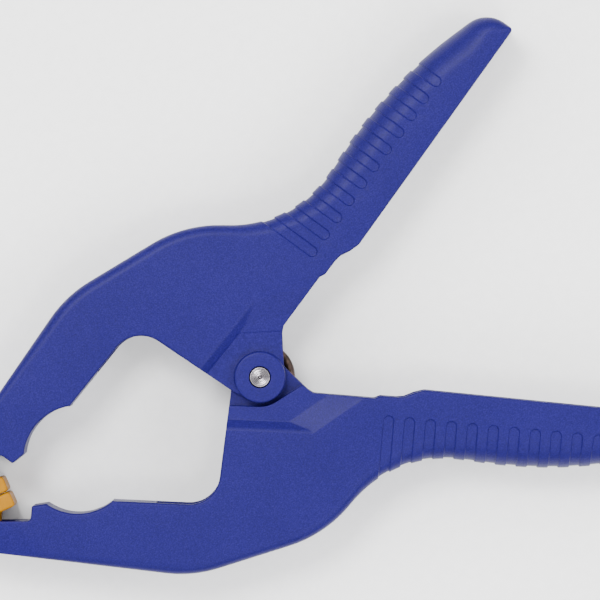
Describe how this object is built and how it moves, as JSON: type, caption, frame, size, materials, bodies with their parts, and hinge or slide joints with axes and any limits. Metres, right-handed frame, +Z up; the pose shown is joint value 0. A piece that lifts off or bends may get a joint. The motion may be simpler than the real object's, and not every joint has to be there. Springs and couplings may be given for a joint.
{
  "type": "spring clamp",
  "caption": "Hand spring clamp with hooked hollow resin arms, finger-grooved handles, a torsion spring round the pivot and swivel pads on the jaw tips",
  "frame": {"origin": "on the pivot axis, at the pin's lower end, which lies in the plane of the flat sides that the clamp rests on", "axes": "+X along the clamp from the pivot towards the handles, +Y towards the upper arm, +Z up along the pivot axis through the clamp's thickness"},
  "size_m": [0.2332, 0.1522, 0.028],
  "materials": {
    "arm_resin": "blue glass-filled resin with a fine spark-eroded texture",
    "pad_plastic": "smooth yellow-orange soft-touch plastic",
    "pin_steel": "turned bright steel",
    "spring_steel": "dark oil-blackened spring wire"
  },
  "bodies": {
    "lower": {"lower_arm": "arm_resin", "pivot_pin": "pin_steel", "torsion_spring": "spring_steel", "lower_pad_pin": "pin_steel"},
    "upper": {"upper_arm": "arm_resin", "upper_pad_pin": "pin_steel"},
    "upper_pad": {"upper_pad": "pad_plastic"},
    "lower_pad": {"lower_pad": "pad_plastic"}
  },
  "joints": [
    {"name": "jaw_opening", "type": "hinge", "parent": "lower", "child": "upper", "pos_m": [0, 0, 0.014], "axis": [0, 0, -1], "range_deg": [0, 45], "stiffness_Nm_per_rad": 3.6, "springref_deg": -11.46, "deforming": ["torsion_spring"]},
    {"name": "upper_pad_swivel", "type": "hinge", "parent": "upper", "child": "upper_pad", "pos_m": [-0.101, 0.0104, 0.014], "axis": [0, 0, 1], "range_deg": [0, 22.5]},
    {"name": "lower_pad_swivel", "type": "hinge", "parent": "lower", "child": "lower_pad", "pos_m": [-0.101, -0.0104, 0.014], "axis": [0, 0, -1], "range_deg": [0, 22.5]}
  ],
  "couplings": [
    {"joint": "upper_pad_swivel", "follows": "jaw_opening", "ratio": 0.5},
    {"joint": "lower_pad_swivel", "follows": "jaw_opening", "ratio": 0.5}
  ]
}
